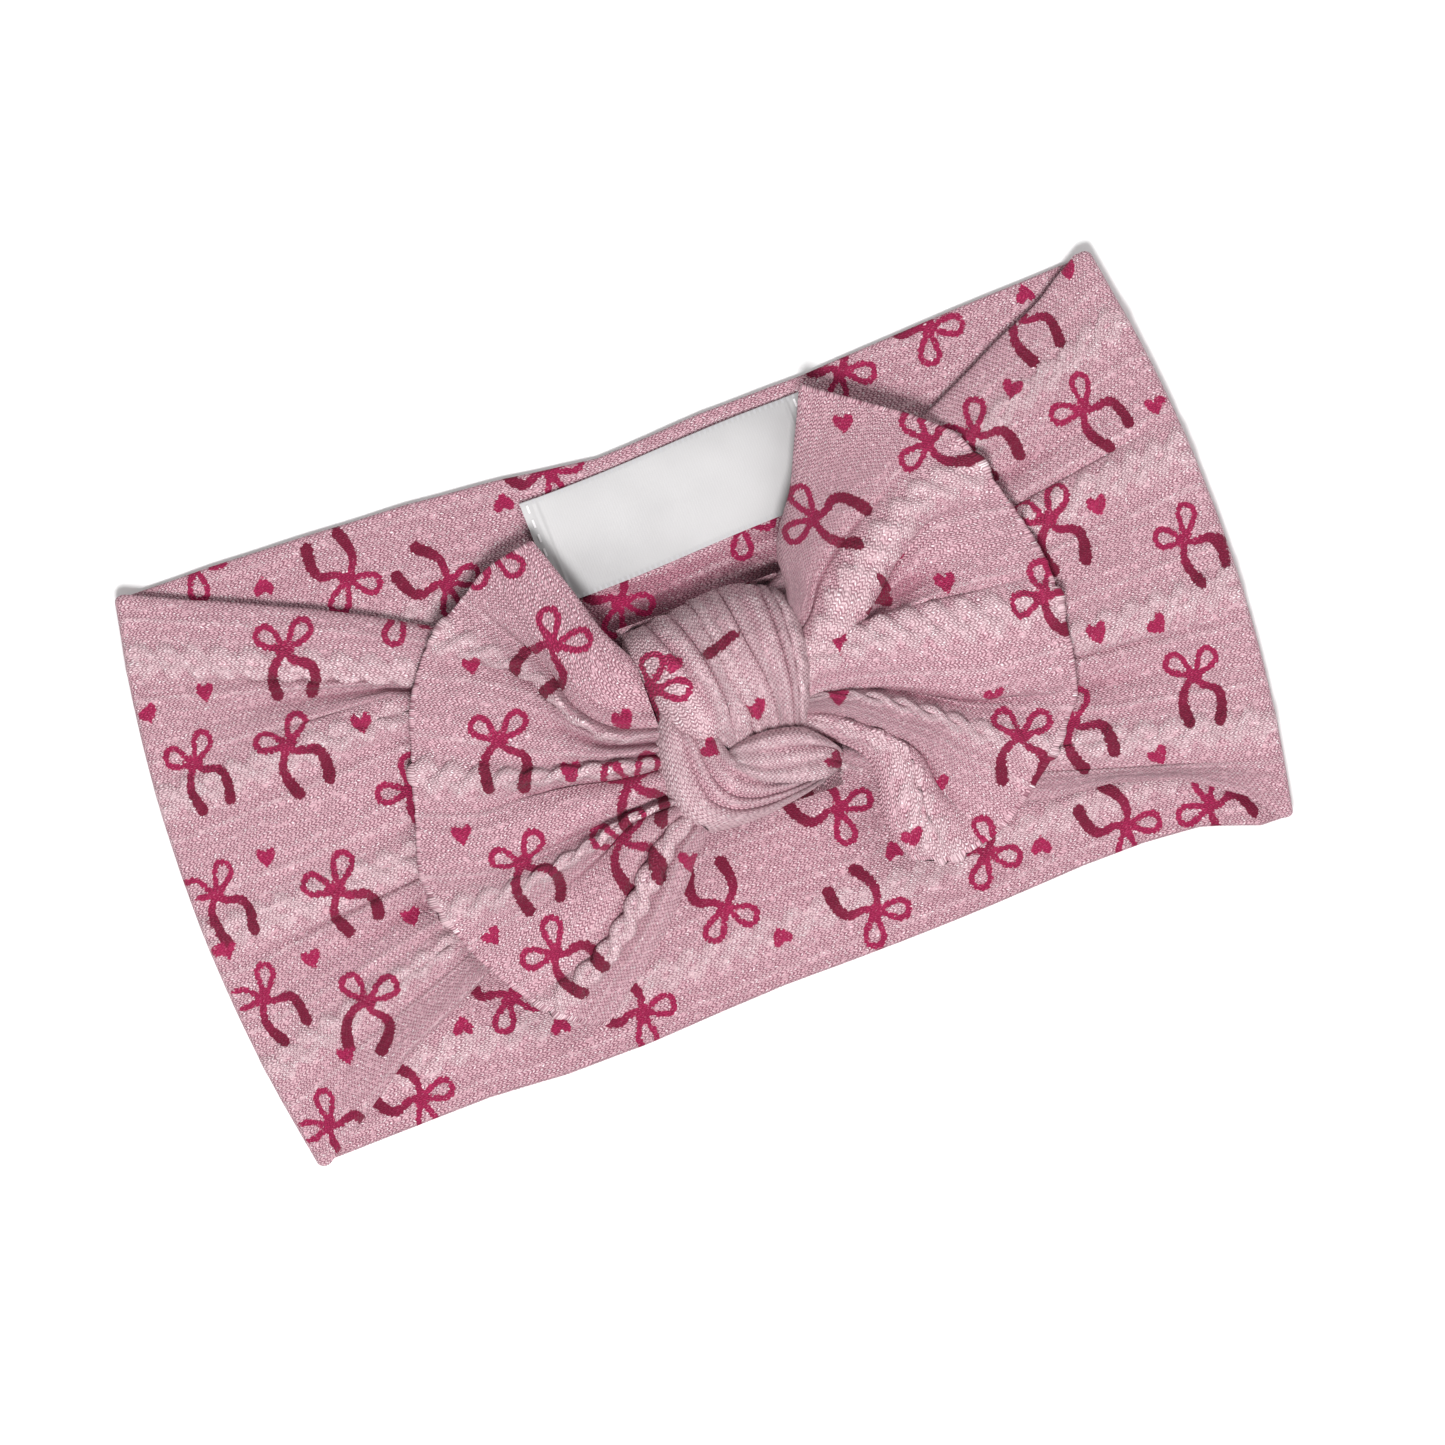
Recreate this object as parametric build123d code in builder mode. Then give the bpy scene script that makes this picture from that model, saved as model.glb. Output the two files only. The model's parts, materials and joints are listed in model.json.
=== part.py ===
"""Stretch-knit bow headband, lying flat.

The band is one tube of cloth closed into a loop. Its back half lies on the table, its front half lies on
top, and the two meet in a pressed fold at each end. A second strip of the same cloth is tied round the
middle of the front half: its turns are the knot and its two ends are the wings of the bow. A satin label
is sewn inside the back half.

X runs along the band, Y across its width and Z up. The origin is on the table under the middle of the
band. All sizes are millimetres.
"""

import os
from math import cos, radians, sin

from build123d import *

# The band laid flat.
HALF_LENGTH = 101.5  # centre to the end fold, at mid width; the fold's axis is here too
CORNER_X = 95.8  # the corners lie a little inside the bulge of the fold
CORNER_Y = 55.4
BACK_HEAD_DIP = 50.0  # the back half's upper edge at mid length
BACK_FOOT_DIP = 53.2  # the same for its lower edge

# The cloth.
CLOTH = 2.0  # two plies of the tube, pressed together
LAYER_GAP = 0.6  # air between the back half and the front half
FRONT_Z = CLOTH + LAYER_GAP
FRONT_THICK = 2.4  # the front half is a little fuller, because it is drawn in

# Lines where the band bends when the loop opens. Each axis lies just inside the loop.
INNER_BEND = 38.0
OUTER_BEND = 70.0
BEND_CLEARANCE = 0.15  # from a bend line to the cloth on each side of it

# Where the knot gathers the front half, as (lowest y, highest y, lowest z, highest z) sections.
LEFT_OUTER_SECTION = (-40.6, 45.0, FRONT_Z, FRONT_Z + 2.7)
RIGHT_OUTER_SECTION = (-40.0, 42.4, FRONT_Z, FRONT_Z + 2.7)
LEFT_INNER_SECTION = (-24.0, 28.8, FRONT_Z + 0.2, FRONT_Z + 5.0)
RIGHT_INNER_SECTION = (-30.0, 26.0, FRONT_Z + 0.2, FRONT_Z + 5.0)
BUNDLE_SECTION = (-12.0, 13.6, FRONT_Z + 2.2, FRONT_Z + 8.4)
SECTION_ROUNDING = 1.2
JOIN_GAP = 0.3  # between the two ends of the band, which meet inside the knot

# The knot.
KNOT_LEFT = -12.6
KNOT_RIGHT = 21.6
KNOT_FOOT = -22.6
KNOT_HEAD = 20.6
KNOT_TOP = 21.4
KNOT_WIDEST_Z = 8.4
KNOT_ROUNDING = 4.0
TUNNEL_CLEARANCE = 0.8
KNOT_BACK_THICK = 1.8
CROSSING_LEFT_Y = -3.0  # the lower turn crosses the upper one along this slanting line
CROSSING_RIGHT_Y = -11.0
CROSSING_GAP = 0.1

# The wings of the bow, which slope down from the knot to rest on the front half.
WING_THICK = 3.0
WING_SLOPE = 6.0  # degrees
WING_ROOT_Z = FRONT_Z + 8.8
LEFT_WING_ROOT = -14.0
RIGHT_WING_ROOT = 22.6

# Outlines of the wings in plan, going round from the knot.
LEFT_WING_HEAD = [(LEFT_WING_ROOT, 15.0), (-17.2, 28.9), (-19.9, 38.9), (-28.4, 37.9)]
LEFT_WING_END = [(-28.4, 37.9), (-49.4, 21.4), (-57.4, -3.6), (-54.0, -30.2), (-40.6, -45.9)]
LEFT_WING_FOOT = [(-40.6, -45.9), (-31.0, -47.2), (-19.5, -36.5), (LEFT_WING_ROOT, -20.0)]
RIGHT_WING_HEAD = [(RIGHT_WING_ROOT, 19.5), (29.7, 33.6), (37.2, 49.3)]
RIGHT_WING_END = [(37.2, 49.3), (57.7, 33.4), (67.9, 4.4), (62.1, -24.3), (43.1, -39.2)]
RIGHT_WING_FOOT = [(43.1, -39.2), (30.3, -39.9), (24.9, -37.1), (RIGHT_WING_ROOT, -17.5)]

# The satin label and its thread.
LABEL_LENGTH = 55.6
LABEL_WIDTH = 20.0
LABEL_PLY = 0.25
LABEL_HEM = 5.0
LABEL_MIDDLE = (8.8, 37.9)
LABEL_TURN = 1.9  # degrees, as sewn
SEAT_GAP = 0.02  # between cloth, label and thread
THREAD = 0.4
STITCH_LENGTH = 1.6
STITCH_INSET = 1.2  # from the label's end to its row of stitches
STITCHES_PER_END = 7


def export(piece, name):
    """Labels a finished piece and writes its STEP file."""
    piece.part.label = name
    export_step(piece.part, f"parts/{name}.step")


def strip_across(x_low, x_high):
    """A strip across the whole band between two lines."""
    with BuildSketch() as strip:
        with Locations(((x_low + x_high) / 2, 0)):
            Rectangle(x_high - x_low, 4 * CORNER_Y)
    return strip.sketch


def back_panel(x_low, x_high):
    """A length of the back half of the band."""
    with BuildPart() as panel:
        with BuildSketch():
            with BuildLine():
                ThreePointArc((-CORNER_X, CORNER_Y), (0, BACK_HEAD_DIP), (CORNER_X, CORNER_Y))
                ThreePointArc((CORNER_X, CORNER_Y), (HALF_LENGTH, 0), (CORNER_X, -CORNER_Y))
                ThreePointArc((CORNER_X, -CORNER_Y), (0, -BACK_FOOT_DIP), (-CORNER_X, -CORNER_Y))
                ThreePointArc((-CORNER_X, -CORNER_Y), (-HALF_LENGTH, 0), (-CORNER_X, CORNER_Y))
            make_face()
            add(strip_across(x_low, x_high), mode=Mode.INTERSECT)
        extrude(amount=CLOTH)
    return panel


def front_outer_panel(side, section):
    """The front half next to a fold: full width at the fold, drawn in towards the knot."""
    foot, head, _, _ = section
    bend_x = side * (OUTER_BEND + BEND_CLEARANCE)
    corner_x = side * CORNER_X
    with BuildPart() as panel:
        with BuildSketch(Plane.XY.offset(FRONT_Z)):
            with BuildLine():
                ThreePointArc((corner_x, CORNER_Y), (side * HALF_LENGTH, 0), (corner_x, -CORNER_Y))
                Polyline((corner_x, -CORNER_Y), (bend_x, foot), (bend_x, head), (corner_x, CORNER_Y))
            make_face()
        extrude(amount=FRONT_THICK)
    return panel


def cross_section(x, section):
    """A rounded section of the gathered cloth, on the plane across the band at x."""
    foot, head, low, high = section
    with BuildSketch(Plane.YZ.offset(x)) as outline:
        with Locations(((foot + head) / 2, (low + high) / 2)):
            RectangleRounded(head - foot, high - low, SECTION_ROUNDING)
    return outline.sketch


def front_inner_panel(side, outer_section, inner_section):
    """The front half between the two bends, where the pleats form."""
    with BuildPart() as panel:
        add(cross_section(side * (OUTER_BEND - BEND_CLEARANCE), outer_section))
        add(cross_section(side * (INNER_BEND + BEND_CLEARANCE), inner_section))
        loft(ruled=True)
    return panel


def gather(side, inner_section, knot_edge):
    """One end of the band, gathered into the bundle inside the knot."""
    with BuildPart() as bundle:
        add(cross_section(side * (INNER_BEND - BEND_CLEARANCE), inner_section))
        add(cross_section(knot_edge, BUNDLE_SECTION))
        loft(ruled=True)
        add(cross_section(knot_edge, BUNDLE_SECTION))
        add(cross_section(side * JOIN_GAP / 2, BUNDLE_SECTION))
        loft(ruled=True)
    return bundle


def crossing_plane(shift):
    """Upright plane along the line where the two turns cross, moved across it by shift."""
    along = Vector(KNOT_RIGHT - KNOT_LEFT, CROSSING_RIGHT_Y - CROSSING_LEFT_Y, 0).normalized()
    across = Vector(-along.Y, along.X, 0)
    origin = Vector(KNOT_LEFT, CROSSING_LEFT_Y, 0) + across * shift
    return Plane(origin=origin, x_dir=along, z_dir=across)


def knot_turn(shift, kept):
    """One of the two turns of the bow's strip over the bundle, cut from the whole knot."""
    foot, head, _, high = BUNDLE_SECTION
    with BuildPart() as turn:
        with BuildSketch(Plane.YZ.offset(KNOT_LEFT)):
            with Locations(((KNOT_FOOT + KNOT_HEAD) / 2, KNOT_WIDEST_Z)):
                Ellipse((KNOT_HEAD - KNOT_FOOT) / 2, KNOT_TOP - KNOT_WIDEST_Z)
            with Locations((0, FRONT_Z + KNOT_TOP / 2)):
                Rectangle(4 * KNOT_HEAD, KNOT_TOP, mode=Mode.INTERSECT)
        extrude(amount=KNOT_RIGHT - KNOT_LEFT)
        fillet(edges().filter_by(GeomType.ELLIPSE), radius=KNOT_ROUNDING)
        with BuildSketch(Plane.YZ.offset(KNOT_LEFT)):
            with Locations(((foot + head) / 2, high + TUNNEL_CLEARANCE - KNOT_TOP / 2)):
                Rectangle(head - foot + 2 * TUNNEL_CLEARANCE, KNOT_TOP)
        extrude(amount=KNOT_RIGHT - KNOT_LEFT, mode=Mode.SUBTRACT)
        split(bisect_by=crossing_plane(shift), keep=kept)
    return turn


def knot_back():
    """The turn of the strip that passes behind the bundle, next to the head."""
    foot, head, _, _ = BUNDLE_SECTION
    with BuildPart() as strip:
        with BuildSketch(Plane.XY.offset(FRONT_Z)):
            with Locations(((KNOT_LEFT + KNOT_RIGHT) / 2, (foot + head) / 2)):
                Rectangle(KNOT_RIGHT - KNOT_LEFT - 2 * KNOT_ROUNDING, head - foot)
        extrude(amount=KNOT_BACK_THICK)
    return strip


def wing(side, root_x, head_edge, end_edge, foot_edge):
    """One end of the bow's strip, fanned out and sloping down from the knot."""
    slope = radians(WING_SLOPE)
    plane = Plane(
        origin=(root_x, 0, WING_ROOT_Z),
        x_dir=(side * cos(slope), 0, -sin(slope)),
        z_dir=(side * sin(slope), 0, cos(slope)),
    )

    def on_slope(points):
        return [((x - root_x) * side / cos(slope), y * side) for x, y in points]

    with BuildPart() as fan:
        with BuildSketch(plane):
            with BuildLine():
                Polyline(*on_slope(head_edge))
                Spline(*on_slope(end_edge))
                Polyline(*on_slope(foot_edge))
                Line(on_slope(foot_edge)[-1], on_slope(head_edge)[0])
            make_face()
        extrude(amount=WING_THICK)
    return fan


def label_plane(height):
    """Plane in line with the label, at a height above the back half's inner face."""
    turn = radians(LABEL_TURN)
    return Plane(origin=(*LABEL_MIDDLE, CLOTH + height), x_dir=(cos(turn), sin(turn), 0))


def care_label():
    """The satin ribbon, with a hem turned under at each end."""
    hem_x = (LABEL_LENGTH - LABEL_HEM) / 2
    with BuildPart() as ribbon:
        with BuildSketch(label_plane(SEAT_GAP)):
            with Locations((-hem_x, 0), (hem_x, 0)):
                Rectangle(LABEL_HEM, LABEL_WIDTH)
        extrude(amount=LABEL_PLY)
        with BuildSketch(label_plane(SEAT_GAP + LABEL_PLY)):
            Rectangle(LABEL_LENGTH, LABEL_WIDTH)
        extrude(amount=LABEL_PLY)
    return ribbon


def label_stitches(side):
    """A row of stitches across one hem of the label."""
    pitch = LABEL_WIDTH / STITCHES_PER_END
    with BuildPart() as row:
        with BuildSketch(label_plane(2 * SEAT_GAP + 2 * LABEL_PLY)):
            with Locations((side * (LABEL_LENGTH / 2 - STITCH_INSET), 0)):
                with GridLocations(0, pitch, 1, STITCHES_PER_END):
                    Rectangle(THREAD, STITCH_LENGTH)
        extrude(amount=THREAD / 2)
    return row


os.makedirs("parts", exist_ok=True)

inner_low, inner_high = INNER_BEND - BEND_CLEARANCE, INNER_BEND + BEND_CLEARANCE
outer_low, outer_high = OUTER_BEND - BEND_CLEARANCE, OUTER_BEND + BEND_CLEARANCE
beyond = HALF_LENGTH + CLOTH
export(back_panel(-inner_low, inner_low), "back_centre_panel")
export(back_panel(-outer_low, -inner_high), "back_left_inner_panel")
export(back_panel(-beyond, -outer_high), "back_left_outer_panel")
export(back_panel(inner_high, outer_low), "back_right_inner_panel")
export(back_panel(outer_high, beyond), "back_right_outer_panel")

export(front_outer_panel(-1, LEFT_OUTER_SECTION), "front_left_outer_panel")
export(front_outer_panel(1, RIGHT_OUTER_SECTION), "front_right_outer_panel")
export(front_inner_panel(-1, LEFT_OUTER_SECTION, LEFT_INNER_SECTION), "front_left_inner_panel")
export(front_inner_panel(1, RIGHT_OUTER_SECTION, RIGHT_INNER_SECTION), "front_right_inner_panel")
export(gather(-1, LEFT_INNER_SECTION, KNOT_LEFT), "front_left_gather")
export(gather(1, RIGHT_INNER_SECTION, KNOT_RIGHT), "front_right_gather")

export(knot_turn(CROSSING_GAP, Keep.TOP), "knot_upper_turn")
export(knot_turn(-CROSSING_GAP, Keep.BOTTOM), "knot_lower_turn")
export(knot_back(), "knot_back_turn")
export(wing(-1, LEFT_WING_ROOT, LEFT_WING_HEAD, LEFT_WING_END, LEFT_WING_FOOT), "left_wing")
export(wing(1, RIGHT_WING_ROOT, RIGHT_WING_HEAD, RIGHT_WING_END, RIGHT_WING_FOOT), "right_wing")

export(care_label(), "care_label")
export(label_stitches(-1), "label_stitches_left")
export(label_stitches(1), "label_stitches_right")
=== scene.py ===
"""Looks for the knit bow headband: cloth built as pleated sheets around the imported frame.

Lengths are millimetres in all the shape code and become metres in make_mesh().
"""
import json
import math

import bmesh
import bpy
import numpy as np
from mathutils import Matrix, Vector

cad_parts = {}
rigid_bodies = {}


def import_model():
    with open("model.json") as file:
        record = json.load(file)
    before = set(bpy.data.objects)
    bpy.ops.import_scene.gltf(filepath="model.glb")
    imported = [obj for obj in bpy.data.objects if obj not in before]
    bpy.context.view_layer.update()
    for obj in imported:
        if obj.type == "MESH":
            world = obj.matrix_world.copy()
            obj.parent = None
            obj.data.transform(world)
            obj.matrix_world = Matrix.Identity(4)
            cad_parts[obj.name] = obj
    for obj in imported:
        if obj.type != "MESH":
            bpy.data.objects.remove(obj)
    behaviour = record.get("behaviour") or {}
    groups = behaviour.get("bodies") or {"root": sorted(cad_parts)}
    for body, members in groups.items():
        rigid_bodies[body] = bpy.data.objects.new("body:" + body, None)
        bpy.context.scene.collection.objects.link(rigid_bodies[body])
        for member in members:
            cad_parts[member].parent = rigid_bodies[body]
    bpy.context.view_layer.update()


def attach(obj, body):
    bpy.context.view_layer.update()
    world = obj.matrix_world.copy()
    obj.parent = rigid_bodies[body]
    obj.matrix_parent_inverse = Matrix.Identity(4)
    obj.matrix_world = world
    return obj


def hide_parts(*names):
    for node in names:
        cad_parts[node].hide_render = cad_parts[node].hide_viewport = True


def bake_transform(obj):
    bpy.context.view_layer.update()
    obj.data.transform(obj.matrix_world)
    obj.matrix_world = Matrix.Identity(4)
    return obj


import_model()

MM = 0.001
COARSE = 1.0
STEP_ALONG, STEP_ACROSS = 0.62 * COARSE, 0.55 * COARSE  # between a mesh's points

# The flat band, as in the CAD frame.
HALF_WIDTH = 55.4
CORNER_X, BULGE = 95.8, 5.7
INNER_BEND, OUTER_BEND, FOLD_AXIS = 38.0, 70.0, 101.5
CUT_INNER = (INNER_BEND + OUTER_BEND) / 2
CUT_OUTER = (OUTER_BEND + FOLD_AXIS) / 2
ACROSS = int(round(2 * HALF_WIDTH / STEP_ACROSS))

# The front's fold lines are given at three places: at the knot, half way, and where they run free.
KNOT_X, MIDDLE_X, FREE_X = 12, 54, 99

# The knit: distance between cables, and of the crossings along one.
CABLE_PERIOD, CROSSING = 26.5, 10.4

SHARP = 2.2         # half-width of a crease that comes to a point; other widths make round valleys
CREASE_SHADE = 0.28  # painted shade: how much darker the knit is made in a crease
PAINTED_INNER_SHADE = -0.16  # painted shade: the back's inner face, sunk under the front, is made a deeper pink
FAR = 3.0           # print distance of cloth with no print near it
PALE_INK = 0.4


# ---- small helpers
def smooth(a, b, x):
    t = np.clip((np.asarray(x, float) - a) / (b - a), 0, 1)
    return t * t * (3 - 2 * t)


def steps(a, b, step):
    return np.linspace(a, b, max(3, int(round(abs(b - a) / step)) + 1))


def table(x, rows):
    """Piecewise-linear values, from (x, value) pairs in order of x."""
    return np.interp(x, *zip(*rows))


def wobble(x, y, seed, size):
    """Slow unevenness between about -1 and 1, the same each run."""
    total = 0
    for i in range(4):
        a = 2.399 * (i + 1) + seed * 1.7
        k = (0.8 + 0.45 * i) * 2 * math.pi / size
        wave = np.sin(k * (x * math.cos(a) + y * math.sin(a)) + 3.1 * seed + 1.3 * i)
        total = total + wave / (1 + 0.5 * i)
    return total / 2.2


def bezier(points, t):
    """The curve of a list of control points at the array of t."""
    t = np.asarray(t)[..., None]
    pts = [np.asarray(p, float) for p in points]
    while len(pts) > 1:
        pts = [a * (1 - t) + b * t for a, b in zip(pts, pts[1:])]
    return pts[0]


def hermite(values, slope, i, h, s):
    """The smooth curve between knots i and i + 1, which are h apart, at the share s of the way."""
    return ((2 * s**3 - 3 * s**2 + 1) * values[i] + (s**3 - 2 * s**2 + s) * h * slope[i]
            + (3 * s**2 - 2 * s**3) * values[i + 1] + (s**3 - s**2) * h * slope[i + 1])


def along(points, t):
    """A smooth curve through a list of points at the array of t from 0 to 1, by length."""
    pts = np.asarray(points, float)
    run = np.r_[0, np.cumsum(np.linalg.norm(np.diff(pts, axis=0), axis=1))]
    x = np.asarray(t) * run[-1]
    tangent = np.gradient(pts, run, axis=0)
    i = np.clip(np.searchsorted(run, x, side="right") - 1, 0, len(run) - 2)
    h = (run[i + 1] - run[i])[..., None]
    s = ((x - run[i]) / (run[i + 1] - run[i]))[..., None]
    return hermite(pts, tangent, i, h, s)


# ---- the print
def teardrop(direction, length, width):
    """A closed loop of ribbon from the bow's middle, as points."""
    t = np.linspace(0, 1, 22)
    reach = (1 - np.cos(2 * np.pi * t)) / 2
    side = np.sin(2 * np.pi * t) * reach
    a = math.radians(direction)
    along_, across = np.array([math.cos(a), math.sin(a)]), np.array([-math.sin(a), math.cos(a)])
    return length * reach[:, None] * along_ + width * 1.5 * side[:, None] * across


def stroke(points, start_width, end_width, start_tone, end_tone):
    """Segments of a brushed line: ends, half widths and tones."""
    p = np.asarray(points, float)
    n = len(p)
    w = np.linspace(start_width, end_width, n) / 2
    k = np.linspace(start_tone, end_tone, n)
    return [(p[i], p[i + 1], w[i], w[i + 1], k[i], k[i + 1]) for i in range(n - 1)]


def bow_segments():
    """Two loops, two widening tails and a dab in the middle."""
    curve = np.linspace(0, 1, 14)
    long_tail = bezier([(0, 0), (3.2, -2.2), (5.0, 2.8), (7.0, -0.8), (7.7, -5.0)], curve)
    short_tail = bezier([(0, 0), (-1.8, -3.2), (-1.0, -5.4), (2.2, -8.2)], curve)
    loops = stroke(teardrop(172, 6.3, 1.75), 1.15, 1.15, 0.35, 0.35)
    loops += stroke(teardrop(78, 6.6, 1.75), 1.15, 1.15, 0.35, 0.35)
    tails = stroke(long_tail, 1.15, 2.4, 0.4, 1.15) + stroke(short_tail, 1.15, 2.4, 0.4, 1.15)
    return loops + tails + stroke([(-0.6, -0.6), (0.6, 0.6)], 1.7, 1.7, 0.4, 0.4)


BOW = bow_segments()
TAIL = stroke([(0, 2.6), (0.3, 0), (-0.2, -2.6)], 1.8, 2.1, 0.9, 1.0)
HEART = np.array([(0, 1.0), (0.7, 1.75), (1.5, 1.75), (2.0, 1.0), (1.7, 0.0), (0, -1.9),
                  (-1.7, 0.0), (-2.0, 1.0), (-1.5, 1.75), (-0.7, 1.75)])


def to_segment(p, a, b):
    """Distance to a segment, and how far along it the nearest point is."""
    d = b - a
    t = np.clip(((p - a) @ d) / (d @ d), 0, 1)
    return np.linalg.norm(p - a - t[:, None] * d, axis=1), t


def inside(p, ring):
    """Which points lie in a closed outline."""
    hit = np.zeros(len(p), bool)
    for a, b in zip(ring, np.roll(ring, -1, axis=0)):
        cross = (a[1] > p[:, 1]) != (b[1] > p[:, 1])
        with np.errstate(divide="ignore", invalid="ignore"):
            x = (b[0] - a[0]) * (p[:, 1] - a[1]) / (b[1] - a[1]) + a[0]
        hit ^= cross & (p[:, 0] < x)
    return hit


def painted(places, motifs):
    """Signed distance to the nearest printed motif, and its tone. A "wob" is a bow the other way round."""
    p = places.reshape(-1, 2)
    dist, tone = np.full(len(p), FAR), np.full(len(p), PALE_INK)
    for kind, mx, my, turn in motifs:
        reach = 5 if kind == "heart" else 12.5
        near = np.flatnonzero((abs(p[:, 0] - mx) < reach) & (abs(p[:, 1] - my) < reach))
        if not len(near):
            continue
        a = math.radians(turn)
        q = (p[near] - (mx, my)) @ np.array([[math.cos(a), -math.sin(a)], [math.sin(a), math.cos(a)]])
        if kind == "wob":
            q = q * (-1, 1)
        if kind == "heart":
            sides = zip(HEART, np.roll(HEART, -1, axis=0))
            d = np.min([to_segment(q, s, e)[0] for s, e in sides], axis=0)
            d = np.where(inside(q, HEART), -d, d)
            k = np.full(len(q), 0.25)
        else:
            d, k = np.full(len(q), FAR), np.full(len(q), PALE_INK)
            for s, e, w0, w1, k0, k1 in TAIL if kind == "tail" else BOW:
                ds, t = to_segment(q, s, e)
                ds = ds - (w0 + (w1 - w0) * t)
                k = np.where(ds < d, k0 + (k1 - k0) * t, k)
                d = np.minimum(d, ds)
        better = d < dist[near]
        dist[near[better]], tone[near[better]] = d[better], k[better]
    return dist.reshape(places.shape[:-1]), tone.reshape(places.shape[:-1])


def placed(**places):
    """Motifs of each kind from (x, y, turn)."""
    return [(kind, *place) for kind, group in places.items() for place in group]


def scattered(turned, seed):
    """Motifs for cloth that the usual view hides: staggered rows, each one tilted its own way."""
    rng = np.random.default_rng(seed)
    out = []
    for r, y in enumerate(np.arange(-54, 60, 18.5)):
        for x in np.arange(-106 if r % 2 else -94, 110, 25.0):
            jx, jy, tilt = rng.uniform(-2, 2), rng.uniform(-2, 2), rng.uniform(-32, 32)
            hx, flip = rng.uniform(-2, 2), rng.random()
            out.append(("bow" if flip < 0.6 else "wob", x + jx, y + jy, tilt + turned))
            out.append(("heart", x + 12.5 + hx, y + jy * 2, tilt * 0.8 + turned))
    return out


# ---- the knit's relief
def knit_relief(u, v):
    """Height of cables and ribs, and how much of each point is cable, less a painted shade in the valleys between
    the strands. v = 0 is the middle of a cable.
    """
    w = (v / CABLE_PERIOD - np.round(v / CABLE_PERIOD)) * CABLE_PERIOD
    k = 2 * np.pi / CROSSING
    sway, strand = 1.9 * np.sin(k * u), 1.75
    a = np.sqrt(np.clip(1 - ((w - sway) / strand) ** 2, 0, 1))
    b = np.sqrt(np.clip(1 - ((w + sway) / strand) ** 2, 0, 1))
    over = 0.5 + 0.5 * np.cos(k * u)
    strands = np.maximum(a * (0.45 + 0.55 * over), b * (1 - 0.55 * over))
    rib = np.exp(-((abs(w) - 7.6) / 0.45) ** 2) + 0.5 * np.exp(-((abs(w) - 10.6) / 0.4) ** 2)
    mask = smooth(5.6, 3.4, abs(w))
    # Painted shade in the valleys between the braid's strands.
    groove = mask * smooth(3.9, 3.1, abs(w)) * np.clip(1 - 1.5 * strands, 0, 1)
    shown = np.clip(mask * (0.45 + 0.55 * np.clip(1.6 * strands, 0, 1)) + 0.7 * rib, 0, 1)
    return 1.25 * strands + 0.10 * mask + 0.32 * rib, shown - 0.45 * groove


# ---- meshes
def add(name, data):
    obj = bpy.data.objects.new(name, data)
    bpy.context.scene.collection.objects.link(obj)
    return obj


def make_mesh(name, P, U, V, K, D, T, closed, flip):
    """A grid of points in millimetres becomes a mesh. The knit's place U, V and its tone K, which carries the painted
    shade of creases and recesses, go with it as the attribute cloth, and the print's distance D and tone T as ink."""
    n, m = P.shape[:2]
    idx = np.arange(n * m).reshape(n, m)
    if closed:
        idx = np.concatenate([idx, idx[:, :1]], 1)
    quads = np.stack([idx[:-1, :-1], idx[1:, :-1], idx[1:, 1:], idx[:-1, 1:]], -1).reshape(-1, 4)
    if flip:
        quads = quads[:, ::-1]
    quads = np.ascontiguousarray(quads, np.int32)
    mesh = bpy.data.meshes.new(name)
    mesh.vertices.add(n * m)
    mesh.vertices.foreach_set("co", (P.reshape(-1, 3) * MM).astype(np.float32).ravel())
    mesh.loops.add(quads.size)
    mesh.loops.foreach_set("vertex_index", quads.ravel())
    mesh.polygons.add(len(quads))
    mesh.polygons.foreach_set("loop_start", np.arange(0, quads.size, 4, dtype=np.int32))
    mesh.update(calc_edges=True)
    mesh.validate()
    mesh.polygons.foreach_set("use_smooth", np.ones(len(quads), bool))
    for attribute, values in (("cloth", (U, V, K)), ("ink", (D, T, 0 * D))):
        data = mesh.attributes.new(attribute, "FLOAT_VECTOR", "POINT").data
        data.foreach_set("vector", np.stack(values, -1).astype(np.float32).ravel())
    return add(name, mesh)


ARC = np.linspace(0, np.pi, 9)[1:-1]


def edge_arc(face_a, face_b, outward):
    """Points round the folded edge of the tube, from the end of one face to the end of the other."""
    mid, half = (face_a + face_b) / 2, (face_a - face_b) / 2
    size = np.linalg.norm(half, axis=-1, keepdims=True)
    c, s = np.cos(ARC)[None, :, None], np.sin(ARC)[None, :, None]
    return mid[:, None] + half[:, None] * c + (outward * size)[:, None] * s


def unit(a):
    return a / np.maximum(np.linalg.norm(a, axis=-1, keepdims=True), 1e-9)


def tube(top, bottom):
    """A flattened tube from two faces, each (rows, across, 3): top, far edge, bottom back again, near edge."""
    far = edge_arc(top[:, -1], bottom[:, -1], unit(top[:, -1] - top[:, -3]))
    near = edge_arc(bottom[:, 0], top[:, 0], unit(top[:, 0] - top[:, 2]))
    return np.concatenate([top, far, bottom[:, ::-1], near], 1)


def around(top_value, bottom_value, past=0.0):
    """The same joining for a scalar: it runs on smoothly over the edges, past them by a little."""
    k = np.linspace(0, 1, len(ARC) + 2)[1:-1][None, :]
    over = past * np.sin(np.pi * k)
    far = top_value[:, -1:] * (1 - k) + bottom_value[:, -1:] * k + over
    near = bottom_value[:, :1] * (1 - k) + top_value[:, :1] * k - over
    return np.concatenate([top_value, far, bottom_value[:, ::-1], near], 1)


def keep_first(top_value, bottom_value):
    """As around(), but each edge takes its value from the face nearer to it."""
    less, more = len(ARC) // 2, len(ARC) - len(ARC) // 2
    return np.concatenate([top_value, np.repeat(top_value[:, -1:], more, 1), np.repeat(bottom_value[:, -1:], less, 1),
                           bottom_value[:, ::-1], np.repeat(bottom_value[:, :1], less, 1),
                           np.repeat(top_value[:, :1], more, 1)], 1)


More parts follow.
